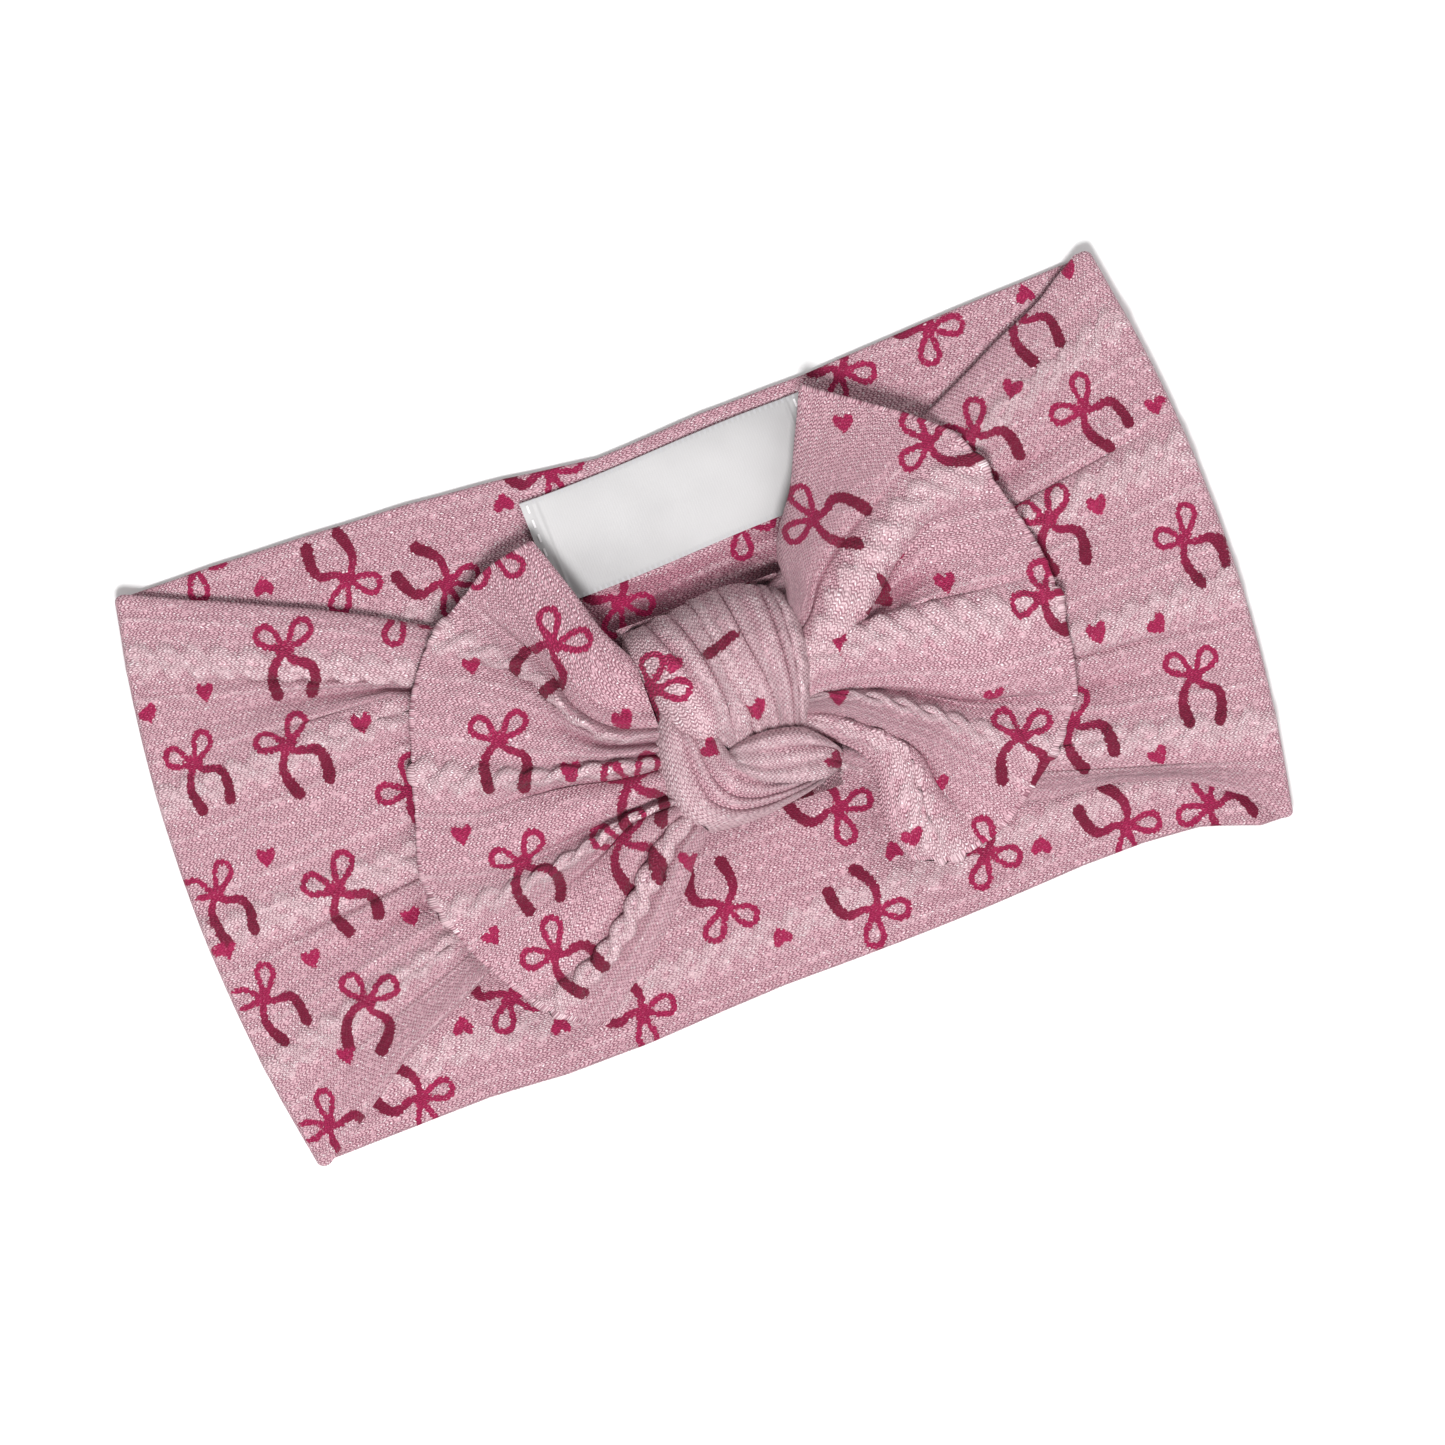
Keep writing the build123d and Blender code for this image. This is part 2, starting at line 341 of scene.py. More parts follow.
# ---- pleated cloth
def painted_crease_shade(drop):
    """Painted shade: the knit is made darker the deeper it lies in a crease."""
    return CREASE_SHADE * np.clip(drop - 0.7, 0, 3.5)


def pleated(at, curves, deep, lean, v, crest, widths):
    """Cloth between fold lines, as (along, across, ...): its points, its places seen from above, and how far each
    point drops into a fold. For each line: at is its place across the cloth, curves its way (lines, along, 2),
    deep its depth (lines, along), lean how far the pleat before it hangs over it (the pleat after it if minus),
    and widths how wide it opens."""
    at = np.asarray(at, float)
    i = np.clip(np.searchsorted(at, v, side="right") - 1, 0, len(at) - 2)
    h = (at[i + 1] - at[i])[:, None, None]
    s = ((v - at[i]) / (at[i + 1] - at[i]))[:, None, None]
    soft = hermite(curves, np.gradient(curves, at, axis=0), i, h, s)
    flat = 0.5 * soft + 0.5 * (curves[i] * (1 - s) + curves[i + 1] * s)
    across = unit(np.gradient(flat, axis=0))
    drop, shift = np.zeros((len(v), curves.shape[1])), 0
    for line, depth, hang, width in zip(at, deep, lean, widths):
        d = v - line
        power = 1 if width == SHARP else 1.5
        drop = np.maximum(drop, depth[None, :] * np.exp(-(abs(d) / width) ** power)[:, None])
        if hang:
            g = np.clip(-math.copysign(1, hang) * d / width, 0, None)
            shift = shift + (hang * g * np.exp(1 - g))[:, None] * np.clip(depth / 2, 0, 1.5)[None, :]
    folded = flat + across * np.asarray(shift)[..., None]
    z = crest.T - drop
    P = np.concatenate([folded, z[..., None]], -1).transpose(1, 0, 2)
    return P, flat.transpose(1, 0, 2), drop.T


def from_rows(rows, t, v, shares, crest, widths, factor=1):
    """pleated() from a table's rows, and the length of each fold line."""
    curves = np.array([along(r[1], t) for r in rows])
    deep = factor * np.array([np.interp(t, shares, r[2]) for r in rows])
    length = np.linalg.norm(np.diff(curves, axis=1), axis=2).sum(1)
    return *pleated([r[0] for r in rows], curves, deep, [r[3] for r in rows], v, crest, widths), length


def lifted(P, height):
    """Move each point out of the cloth by a height, along the surface's own normal."""
    n = unit(np.cross(np.gradient(P, axis=0), np.gradient(P, axis=1)))
    n *= np.sign(np.mean(n[..., 2]))
    return P + n * height[..., None]


# ---- the band
def fold_line(y):
    """How far out the end fold lies, at a height across the band."""
    return CORNER_X + BULGE * (1 - (y / HALF_WIDTH) ** 2)


# Heights of the band's two edges, from x or |x|; -1 is the left side and 1 the right.
BACK_HIGH = [(-96, 55.4), (-80, 55.3), (-60, 54.6), (-40, 53.8), (-21, 52.2), (-3, 49.8), (8, 50.4), (18, 51.2),
             (38, 51.4), (58, 52.6), (78, 53.6), (96, 54.2)]
BACK_LOW = [(-96, -54.6), (-80, -54.3), (-64, -53.9), (-48, -54.8), (-32, -54.6), (-4, -53), (20, -52.8),
            (39, -52.1), (58, -51), (70, -50.8), (82, -51.6), (96, -55.2)]
FRONT_HIGH = {-1: [(12, 13.4), (28, 22.5), (41, 30.2), (51, 35.7), (64, 42.2), (81, 49.7), (96, 55.4)],
              1: [(12, 13.4), (32, 24.5), (45, 30.8), (59, 37.3), (74, 44.6), (85, 49.4), (95, 54.6)]}
FRONT_LOW = {-1: [(12, -11.8), (28, -19.5), (41, -26), (54, -32.4), (63, -36.8), (73, -41.2), (84, -48.4),
                  (96, -55)],
             1: [(12, -11.8), (32, -26), (45, -34.5), (55, -37.4), (66, -38.4), (78, -41.8), (90, -48.6),
                 (96.5, -55.2)]}
CABLE_AT, BACK_CABLE_AT = {-1: 17.5, 1: 15.0}, -45.0  # a cable's middle, across the cloth
# Fold lines of the front half: place across the flat cloth, height at MIDDLE_X and at KNOT_X, depths from the end
# fold inwards (FOLD_DEPTHS_AT backwards, and KNOT_DEPTH in the end), lean, and the width if not SHARP.
FOLD_DEPTHS_AT = [KNOT_X, MIDDLE_X, 70, 84, 96]
KNOT_DEPTH = 4.6
FRONT_FOLDS = {
    -1: [(-41.5, -27, -9, (0, 0.3, 0.8, 1.2), 0), (-30, -20.5, -6.4, (0, 0.4, 0.9, 1.3), 0),
         (-22.5, -15.4, -5.1, (0, 1, 1.9, 2.4), 0, 4.5), (-15, -10.5, -3.8, (0.3, 1.5, 2.1, 2.4), -1.3),
         (-3, -2, -0.5, (0, 0.3, 0.5, 0.9), 0), (12, 14, 3.4, (0, 0.2, 0.6, 1.1), 0),
         (24, 21.6, 6.2, (0, 0.4, 1.3, 2.2), 1.2), (32, 23.4, 7.4, (0, 1, 2, 2.8), 0, 4.5),
         (40, 25.3, 8.6, (0.2, 0.9, 1.8, 2.4), -1.2)],
    1: [(-44.5, -32, -9.2, (0.3, 0.8, 1.1, 1.3), 0), (-32, -23, -6.6, (0, 0.3, 0.7, 1.1), 0),
        (-25, -17.8, -5.1, (0.2, 1.1, 2, 2.4), 0, 4.2), (-17.5, -12.5, -3.6, (0.3, 1.3, 2.1, 2.3), -1.3),
        (-5.5, -6.5, -0.8, (0, 0.2, 0.4, 0.8), 0), (9, 5, 2.4, (0, 0.2, 0.4, 0.8), 0),
        (20.5, 12.6, 5.2, (0.5, 1.5, 2.2, 2.4), 1.3), (28, 17.6, 7, (0.2, 1.3, 2.2, 2.7), 0, 4.5),
        (35.5, 23, 8.8, (0, 0.2, 0.6, 1), 0)],
}
FRONT_CREST = [(8, 10.8), (12, 10.6), (38, 7.4), (54, 6.4), (70, 5.9), (86, 5.2), (102, 4.6)]
FRONT_INNER = [(12, 5), (38, 3.1), (86, 2.9), (102, 2.9)]
BACK_OUTER_Z, BACK_INNER_Z = 0.75, 1.4
BACK_RELIEF = 0.42  # of the knit's full relief

FRONT_MOTIFS = placed(
    bow=[(-69, 36.5, -45), (-93, 22, -27), (-74.5, 19, -23), (-75, -8, -20), (-98, -2, -25), (-77, -30, -60),
         (-96, -23, -10), (-92.5, -49, 5), (-46, 36, 150), (-56, 4, -5), (85, 28, 0), (95.5, -1, -12),
         (87.5, -25.5, -43), (64, 30.5, -10), (71.5, 10, -30), (63, -26, -20), (79, 48, -15)],
    heart=[(-86, 34, -10), (-60.5, 18, -10), (-85.5, 1.5, -10), (-84, -19, 0), (-64, -18, 0), (-99, 34, 0),
           (-84, -38, 0), (-100, -12, 0), (73.5, 36, -30), (81, 10, 0), (84, -13.5, 20), (73, -11, 0),
           (102, -29, 0), (76, -37, 15), (99, 24, 0), (92, 53, 0)])
BACK_MOTIFS = placed(
    bow=[(-54, 45, 157), (-12, 51, 190), (63, 52, 175), (45, 50, 165), (-9, -36, 150), (17, -46, 172),
         (-52, -38, 160), (-30, -49, 185), (-37, 38, 186), (40, -43, 160), (66, -47, 176), (-8, 24, 160),
         (17, -26, 190), (-80, 57, 186), (-74, -50, 190), (18, 30, 176), (82, -49, 10)],
    heart=[(-69, 49, 170), (-22, 48.5, 172), (-1, -44.5, 190), (-45, -46, 176), (24, -36.5, 184), (50, -45, 170),
           (82, 52, 180), (-62, -40, 170)])


def front_faces(side, x):
    """The front half's top and bottom face for columns at |x|, bent to follow the bulge of the end fold. Also the
    knit's place across and its tone with painted crease shade, and the places seen from above."""
    v = np.linspace(-HALF_WIDTH, HALF_WIDTH, ACROSS)
    folds = [(*f[:3], (*f[3], KNOT_DEPTH), *f[4:]) for f in FRONT_FOLDS[side]]
    # Between those lines the cloth folds once more as it runs into the knot, under the wing.
    folds = sorted(folds + [((a[0] + b[0]) / 2, (a[1] + b[1]) / 2, (a[2] + b[2]) / 2, (0, 0, 0.2, 1.5, 5.2), 0)
                            for a, b in zip(folds, folds[1:]) if b[0] - a[0] > 6])
    share = np.clip((x - KNOT_X) / (FOLD_AXIS - KNOT_X), 0, 1)
    at = [-HALF_WIDTH] + [f[0] for f in folds] + [HALF_WIDTH]

    def height(k, xs):
        if k == 0:
            return table(xs, FRONT_LOW[side])
        if k == len(at) - 1:
            return table(xs, FRONT_HIGH[side])
        place, mid, knot = folds[k - 1][:3]
        out = place + (mid - place) * np.clip((FREE_X - xs) / (FREE_X - MIDDLE_X), 0, 1) ** 1.15
        return np.where(xs > MIDDLE_X, out, mid + (knot - mid) * (MIDDLE_X - xs) / (MIDDLE_X - KNOT_X))

    curves, deep = [], []
    for k in range(len(at)):
        xs = x.copy()
        for _ in range(4):
            y = height(k, xs)
            xs = x + share * (fold_line(y) - FOLD_AXIS)
        curves.append(np.stack([xs, y], -1))
        inner = 0 < k < len(at) - 1
        deep.append(np.interp(x, FOLD_DEPTHS_AT, folds[k - 1][3][::-1]) if inner else 0 * x)
    lean = [0] + [f[4] for f in folds] + [0]
    widths = [SHARP] + [f[5] if len(f) > 5 else SHARP for f in folds] + [SHARP]
    edge = np.minimum(v + HALF_WIDTH, HALF_WIDTH - v)[None, :]
    top_z = table(x, FRONT_CREST)[:, None]
    floor = table(x, FRONT_INNER)[:, None]
    crest = top_z - np.clip(top_z - floor - 1.7, 0, None) * np.exp(-edge / 2.6)
    P, flat, drop = pleated(at, np.array(curves), np.array(deep), lean, v, crest + 0 * v, widths)
    u = flat[..., 0]
    calm = smooth(104, 88, x)[:, None]
    P[..., 2] += 0.32 * calm * wobble(u * side, flat[..., 1], 2 + side, 24)
    knit_v = v[None, :] - CABLE_AT[side] + 0 * u
    relief, cable = knit_relief(u, knit_v)
    P[..., 2] = np.maximum(P[..., 2], floor + 0.5)
    top = lifted(P, relief * table(x, [(12, 0.5), (40, 0.7), (56, 1.0)])[:, None])
    bottom = np.stack([flat[..., 0], flat[..., 1], floor + 0.95 * np.minimum(drop, 4.2) + 0 * u], -1)
    bottom[..., 2] = np.minimum(bottom[..., 2], top[..., 2] - 0.35)
    for face in (top, bottom, flat):
        face[..., 0] *= side
    # The tone returned carries the painted shade of the creases.
    return top, bottom, knit_v, cable - painted_crease_shade(drop), flat


def back_faces(x):
    """The same for the back half, for columns at x: its inner face is the top one."""
    ray = np.linspace(-1, 1, ACROSS)[None, :]
    far = x[:, None]
    high, low = table(far, BACK_HIGH), table(far, BACK_LOW)
    mid, half = (high + low) / 2, (high - low) / 2
    y = mid + half * ray
    share = np.clip(abs(far) / FOLD_AXIS, 0, 1) ** 2
    bulged = np.sign(far) * (abs(far) + share * (fold_line(y) - FOLD_AXIS))
    v = ray * HALF_WIDTH - BACK_CABLE_AT + 0 * far
    height, cable = knit_relief(bulged, v)
    ripple = 0.12 * wobble(bulged, y, 5, 30)
    top = np.stack([bulged, y, BACK_INNER_Z + BACK_RELIEF * height + ripple], -1)
    bottom = np.stack([bulged, y, BACK_OUTER_Z - BACK_RELIEF * height], -1)
    return top, bottom, v, cable, np.stack([bulged, y], -1)


def ink_on(flat, top_motifs, bottom_motifs):
    """The print on both faces of a tube."""
    top_d, painted_top_shade = painted(flat, top_motifs)
    bottom_d, bottom_tone = painted(flat, bottom_motifs)
    return keep_first(top_d, bottom_d), keep_first(painted_top_shade, bottom_tone)


def band_tube(name, faces, motifs, flip, painted_top_shade=0.0):
    top, bottom, v, cable, flat = faces
    U = around(flat[..., 0], flat[..., 0])
    V = around(v, v, 1.2)
    # The top face can take a painted shade, given as a tone added to the cable pattern.
    K = keep_first(cable + painted_top_shade, cable * 0.9)
    D, T = ink_on(flat, *motifs)
    return make_mesh(name, tube(top, bottom), U, V, K, D, T, True, flip)


HIDDEN_LOW = scattered(0, 7)
HIDDEN_IN = scattered(180, 11)
BACK_INKS = (BACK_MOTIFS, HIDDEN_LOW)
FRONT_INKS = (FRONT_MOTIFS, HIDDEN_IN)


def knit_piece(obj, flat):
    obj.data.materials.append(KNIT)
    flat = (flat[0] * MM, flat[1] * MM)


def make_back():
    spans = [(-CUT_OUTER, -CUT_INNER, "back_left_inner", "back_left_outer", -OUTER_BEND),
             (-CUT_INNER, 0, "back_centre", "back_left_inner", -INNER_BEND),
             (0, CUT_INNER, "back_centre", "back_right_inner", INNER_BEND),
             (CUT_INNER, CUT_OUTER, "back_right_inner", "back_right_outer", OUTER_BEND)]
    for a, b, near, far, bend in spans:
        faces = back_faces(steps(a, b, STEP_ALONG))
        x, y = faces[-1][..., 0], faces[-1][..., 1]
        # Painted shade: a deeper pink, near black at its darkest, where the knot and the label leave a recess.
        wide = 0.4 * smooth(34, 17, abs(x - 5)) * smooth(32, 24, y) * smooth(0, 12, y)
        left = 1.0 * smooth(10, -2, x) * smooth(-26, -16, x) * smooth(28, 21, y) * smooth(4, 14, y)
        obj = band_tube(f"{far}_knit", faces, BACK_INKS, False, PAINTED_INNER_SHADE - wide - left)
        knit_piece(obj, (2 * 2 * HALF_WIDTH, b - a))
        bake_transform(obj)


def make_front():
    for side, word in ((-1, "left"), (1, "right")):
        hub = "front_centre" if side < 0 else "front_centre_right"
        root = 11.0 if side < 0 else 17.0
        for a, b, near, far, bend, part in (
                (CUT_INNER, CUT_OUTER, f"front_{word}_inner", f"front_{word}_outer", OUTER_BEND, "outer"),
                (root, CUT_INNER, hub, f"front_{word}_inner", INNER_BEND, "gather")):
            faces = front_faces(side, steps(a, b, STEP_ALONG))
            obj = band_tube(f"front_{word}_{part}_knit", faces, FRONT_INKS, side < 0)
            knit_piece(obj, (2 * 2 * HALF_WIDTH, b - a))
            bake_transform(obj)


def make_fold(side, word):
    """The end fold: outer ply and inner ply are two sheets, because they bend by different amounts."""
    front_x = steps(CUT_OUTER, FOLD_AXIS, STEP_ALONG)
    f_top, f_bottom, f_v, f_cable, f_flat = front_faces(side, front_x)
    b_top, b_bottom, b_v, b_cable, b_flat = back_faces(side * front_x)

    def wrapped(back_face, front_face, gap):
        """Back face out to the fold, round it and back along the front face, row by row."""
        rows = []
        z_back, z_front = back_face[-1, :, 2], front_face[-1, :, 2]
        radius = (z_front - z_back) / 2
        middle = (z_front + z_back) / 2
        reach = abs(front_face[-1, :, 0]) - gap - radius
        for face in (back_face, front_face):
            x = abs(face[..., 0])
            x = x[0] + (x - x[0]) * ((reach - x[0]) / (x[-1] - x[0]))
            rows.append(np.stack([side * x, face[..., 1], face[..., 2]], -1))
        turn = np.linspace(-np.pi / 2, np.pi / 2, 15)[1:-1][:, None]
        yb, yf = back_face[-1, :, 1], front_face[-1, :, 1]
        k = (turn / np.pi) + 0.5
        bend = np.stack([side * (reach + radius * np.cos(turn) ** 0.5), yb * (1 - k) + yf * k,
                         middle + radius * np.sin(turn)], -1)
        return np.concatenate([rows[0], bend, rows[1][::-1]], 0)

    outer = wrapped(b_bottom, f_top, 0.0)
    inner = wrapped(b_top, f_bottom, 1.6)
    whole = tube(outer, inner)
    bend_rows = len(whole) - 2 * len(front_x)

    def joined(b, f, share=None):
        """Values along the whole ply. Round the bend they go over from the back's to the front's, or keep to
        the share that is given."""
        k = np.linspace(0, 1, bend_rows + 2)[1:-1][:, None] if share is None else share
        return np.concatenate([b, b[-1:] * (1 - k) + f[-1:] * k + np.zeros((bend_rows, 1)), f[::-1]], 0)

    run = np.r_[0, np.cumsum(np.linalg.norm(np.diff(outer[:, ACROSS // 2], axis=0), axis=1))]
    U = np.repeat(run[:, None], whole.shape[1], 1) * side
    v = joined(b_v, f_v, 1.0)  # the knit's columns shift at one row, as at a seam
    V = around(v, v, 1.2)
    # The inner ply's inner face gets the back's painted shade.
    K = keep_first(joined(b_cable, f_cable), joined(b_cable + PAINTED_INNER_SHADE, f_cable))
    b_d, b_t = ink_on(b_flat, HIDDEN_LOW, BACK_MOTIFS)
    f_d, f_t = ink_on(f_flat, FRONT_MOTIFS, HIDDEN_IN)
    D, T = joined(b_d, f_d), joined(b_t, f_t)
    n, arc = ACROSS, len(ARC)
    outer_cols = np.arange(n)
    inner_cols = np.r_[np.arange(n - 1, 2 * n + 2 * arc), 0]  # with the rolled rims
    for name, cols, low, high in ((f"{word}_fold_outer_knit", outer_cols, 1.2, 3.8),
                                  (f"{word}_fold_inner_knit", inner_cols, 2.1, 2.6)):
        obj = make_mesh(name, *(a[:, cols] for a in (whole, U, V, K, D, T)), False, side > 0)
        knit_piece(obj, (2 * HALF_WIDTH, 33))
        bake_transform(obj)


# ---- the bow's wings
WING_MOTIFS = {
    -1: placed(
        bow=[(-21.5, 21, -90), (-37.5, 7, -48), (-41, -16, -28), (-22, -19, -30), (-41, -33.5, 0),
             (-17, -9, -40), (-27, 40, 140)],
        heart=[(-37.5, 22, -10), (-27, -2.5, -15), (-50, -7, -10), (-51, -26.5, 20), (-14.5, 4.5, 0),
               (-12, -26, -20)]),
    1: placed(
        bow=[(55.5, 32, 32), (31, 26, 25), (66, -2, 5), (53, -25, -58), (41.5, -43, 20)],
        heart=[(42, 40.5, -10), (43, 15.5, 160), (49.5, 7, -10), (51.5, -13.5, -15), (36, -28, -10),
               (24, -6.5, -20), (27.5, 3.4, -20), (27.5, -35.5, 10)],
        tail=[(38.2, 11.8, 20), (36.0, 8.4, 70)]),
}
# Fold lines of each wing: place across the cloth, way from the knot to the outer edge, depths at the knot, a
# quarter, half, three quarters and the edge, lean, and the width if it is not SHARP.
LEFT_WING = [
    (0, [(-9, 12), (-12.9, 18.8), (-15.9, 28.3), (-19.8, 39.2)], (0, 0, 0, 0, 0), 0),
    (8.4, [(-9, 4), (-15.8, 6.8), (-21.5, 17.1), (-25.1, 27.3), (-28.3, 37.5)], (1.5, 1.3, 0.8, 0.6, 0.3), 0.6),
    (15.5, [(-9, 0.5), (-16.7, 3.7), (-21.8, 9.6), (-24.2, 17.9), (-29.9, 27.2), (-34.1, 34.4)],
     (3.2, 3.4, 2.6, 1.6, 0.7), 1.2, 3.2),
    (28, [(-9, -1.2), (-18, 1.4), (-22.7, 7.1), (-28, 15.8), (-36.5, 21.8), (-45, 26.5)],
     (3.4, 3.6, 2.4, 1.4, 0.2), 1, 4.2),
    (37, [(-9, -3.4), (-19.7, 0), (-26.9, 6), (-36, 12), (-50, 18.9)], (3, 2.8, 1.3, 0.3, 0), 0, 3.2),
    (45.6, [(-9, -5.6), (-24.3, -1.9), (-33.8, 1.1), (-42, 5.4), (-52.9, 11.5)],
     (3, 2.2, 0.9, 1, 0.9), 0, 3.2),
    (57, [(-9, -8), (-20.4, -6.6), (-27, -5), (-35.6, -3.9), (-45, -3.6), (-56.1, 0.2)],
     (3.2, 3.4, 2.2, 1, 0.4), -1.1, 4),
    (69, [(-9, -13), (-20.4, -14), (-31.1, -14.8), (-40, -15.4), (-48, -14.8), (-59.3, -11.5)],
     (3.2, 3.4, 2.4, 1.1, 0.2), 0.9, 4.5),
    (86, [(-9, -15.6), (-20.6, -16), (-26, -18.8), (-33, -21.6), (-42, -24.4), (-55.3, -27.6)],
     (3.2, 3.2, 2, 0.8, 0.3), -0.8, 4.5),
    (99, [(-9, -17.6), (-14.3, -19.9), (-19.5, -24), (-26, -30.5), (-34, -35.6), (-48, -39.5)],
     (3.2, 3.4, 2.8, 1.8, 0.2), -1, 3.2),
    (108, [(-8, -19.6), (-13.2, -23), (-18.5, -28.6), (-27, -36), (-42, -45.6)],
     (2.8, 2.4, 1.8, 1, 0.2), 0.8),
    (116, [(-7, -21.6), (-10.4, -24.8), (-14.2, -29.4), (-23.4, -38.1), (-31.6, -44.4), (-36.8, -48.3)],
     (0, 0, 0, 0, 0), 0),
]
RIGHT_WING = [
    (0, [(17, 8), (21.6, 15), (22.5, 22), (29.7, 33.6), (37.2, 49.1)], (0, 0, 0, 0, 0), 0),
    (27, [(17, 6), (23.2, 9.4), (27.8, 15.6), (34.2, 20.9), (42.1, 25.2), (50, 28.6), (60.6, 31.1)],
     (3, 3, 2.4, 1, 0.1), -0.9, 3.4),
    (39.5, [(17, 2), (24, 2.6), (29.9, 4.5), (35.2, 8.1), (39.5, 12.1), (42.9, 14.9), (50, 18),
            (65.2, 17)], (2.8, 4.4, 4.4, 0.9, 0), 2.4, 3.4),
    (47, [(17, 1.4), (23.4, 2.8), (31, 4.5), (38.8, 7), (45, 8.6), (56, 9.6), (67, 9.2)],
     (2.8, 4.2, 3.6, 0.5, 0), 0, 6.5),
    (54.5, [(17, 0.9), (23.4, 3), (32.7, 4.6), (42.2, 4.6), (51, 4.3), (58.4, 3.3), (68.2, 1.6)],
     (2.6, 4, 3.2, 1.3, 0.5), -1.5),
    (76, [(17, -3.4), (22, -3.6), (29, -5.4), (35, -8), (41.5, -11.8), (47.5, -15), (54, -17.2),
          (65.1, -20.8)], (3.8, 4.6, 4.4, 2.4, 0.3), 2.4, 6),
    (105, [(16, -7.6), (20.5, -9), (26, -13), (30.5, -17.3), (33.7, -20.6), (36, -29.1), (38.4, -34.6),
           (41.5, -40.2)], (3.4, 4.2, 3.8, 2.2, 0.5), -1.6, 4),
    (112, [(15.5, -9.4), (20, -11.4), (25, -15), (29.1, -18.2), (30.8, -23), (30.6, -28), (31, -33),
           (33.2, -41.2)], (2.4, 2.4, 2.2, 1.4, 0.4), 0.8),
    (118, [(15, -11), (18.4, -12.6), (22.7, -15.6), (25.4, -19), (25.8, -23), (24.9, -28), (25, -33.3),
           (26.6, -38.8)], (0, 0, 0, 0, 0), 0),
]
WING_CABLE = {-1: 24, 1: 33.2}  # a cable's middle, across the cloth
# Heights of the crest and of the underside, from the knot (0) to the outer edge (1).
WING_TOP = {-1: [(0, 14.6), (0.15, 15.4), (0.3, 15), (0.5, 13.3), (0.75, 11.2), (1, 9.1)],
            1: [(0, 14.6), (0.15, 15.6), (0.3, 15.2), (0.5, 13.6), (0.75, 11.4), (1, 9.2)]}
WING_LOW = [(0, 11), (0.3, 10.4), (0.6, 9), (1, 7.5)]


def make_wing(side, word):
    """One loop of the bow: two plies from the knot to a rounded outer edge."""
    t = steps(0, 1, STEP_ALONG / 54)
    rows = LEFT_WING if side < 0 else RIGHT_WING
    width = rows[-1][0]
    v = steps(0, width, STEP_ACROSS * 0.95)
    edge = np.minimum(v, width - v)[None, :]
    top_z = table(t, WING_TOP[side])[:, None]
    low_z = table(t, WING_LOW)[:, None]
    crest = top_z - (top_z - low_z - 1.5) * np.exp(-edge / 2.4) * 0.9
    widths = [r[4] if len(r) > 4 else SHARP for r in rows]
    P, flat, drop, length = from_rows(rows, t, v, [0, 0.25, 0.5, 0.75, 1], crest, widths)
    P[..., 2] += 0.30 * wobble(flat[..., 0], flat[..., 1], 8 + side, 22) * smooth(0, 0.2, t)[:, None]
    P[..., 2] = np.maximum(P[..., 2], low_z + 0.55)
    u = t[:, None] * np.interp(v, [r[0] for r in rows], length)[None, :] + 20
    knit_v = v[None, :] + 0 * u - WING_CABLE[side]
    relief, cable = knit_relief(u, np.maximum(knit_v, -12))  # no second cable at the upper edge
    top = lifted(P, relief * smooth(-0.1, 0.35, t)[:, None])
    bottom = np.stack([flat[..., 0], flat[..., 1], low_z - 0.25 * relief + 0.2 * np.minimum(drop, 2)], -1)
    ring = tube(top, bottom)
    U, V = around(u, u), around(knit_v, knit_v, 1.2)
    # Tone of the top ply: the cable pattern, less the painted shade in its creases.
    K = keep_first(cable - painted_crease_shade(drop), cable * 0.9)
    D, T = ink_on(flat, WING_MOTIFS[side], HIDDEN_LOW)
    # Round off the outer edge: the two plies meet half way, a little further out. For that, mirror[i] is the
    # point of the ring across from point i.
    n, arc = len(v), len(ARC)
    mirror = np.r_[np.arange(n)[::-1] + n + arc, np.arange(n, n + arc)[::-1],
                   np.arange(n)[::-1], np.arange(2 * n + arc, 2 * n + 2 * arc)[::-1]]
    last, out = ring[-1], unit(ring[-1] - ring[-3])
    out[:, 2] = 0
    other = last[mirror]
    mid, half = (last + other) / 2, (last - other) / 2
    size = np.linalg.norm(half, axis=1, keepdims=True)
    quarter = np.linspace(0, math.pi / 2, 5)[1:]
    caps = [mid + half * math.cos(a) + out * size * math.sin(a) for a in quarter]
    ring = np.concatenate([ring, np.array(caps)], 0)
    U, V, K, D, T = (np.concatenate([a, np.repeat(a[-1:], len(caps), 0)], 0) for a in (U, V, K, D, T))
    obj = make_mesh(f"{word}_wing_knit", ring, U, V, K, D, T, True, side > 0)
    weld(obj)
    knit_piece(obj, (2 * width, float(np.max(length))))
    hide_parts(f"{word}_wing")
    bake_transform(obj)


def weld(obj):
    """Join the two halves of a rounded edge."""
    bm = bmesh.new()
    bm.from_mesh(obj.data)
    bmesh.ops.remove_doubles(bm, verts=bm.verts, dist=0.00001)
    bm.to_mesh(obj.data)
    bm.free()


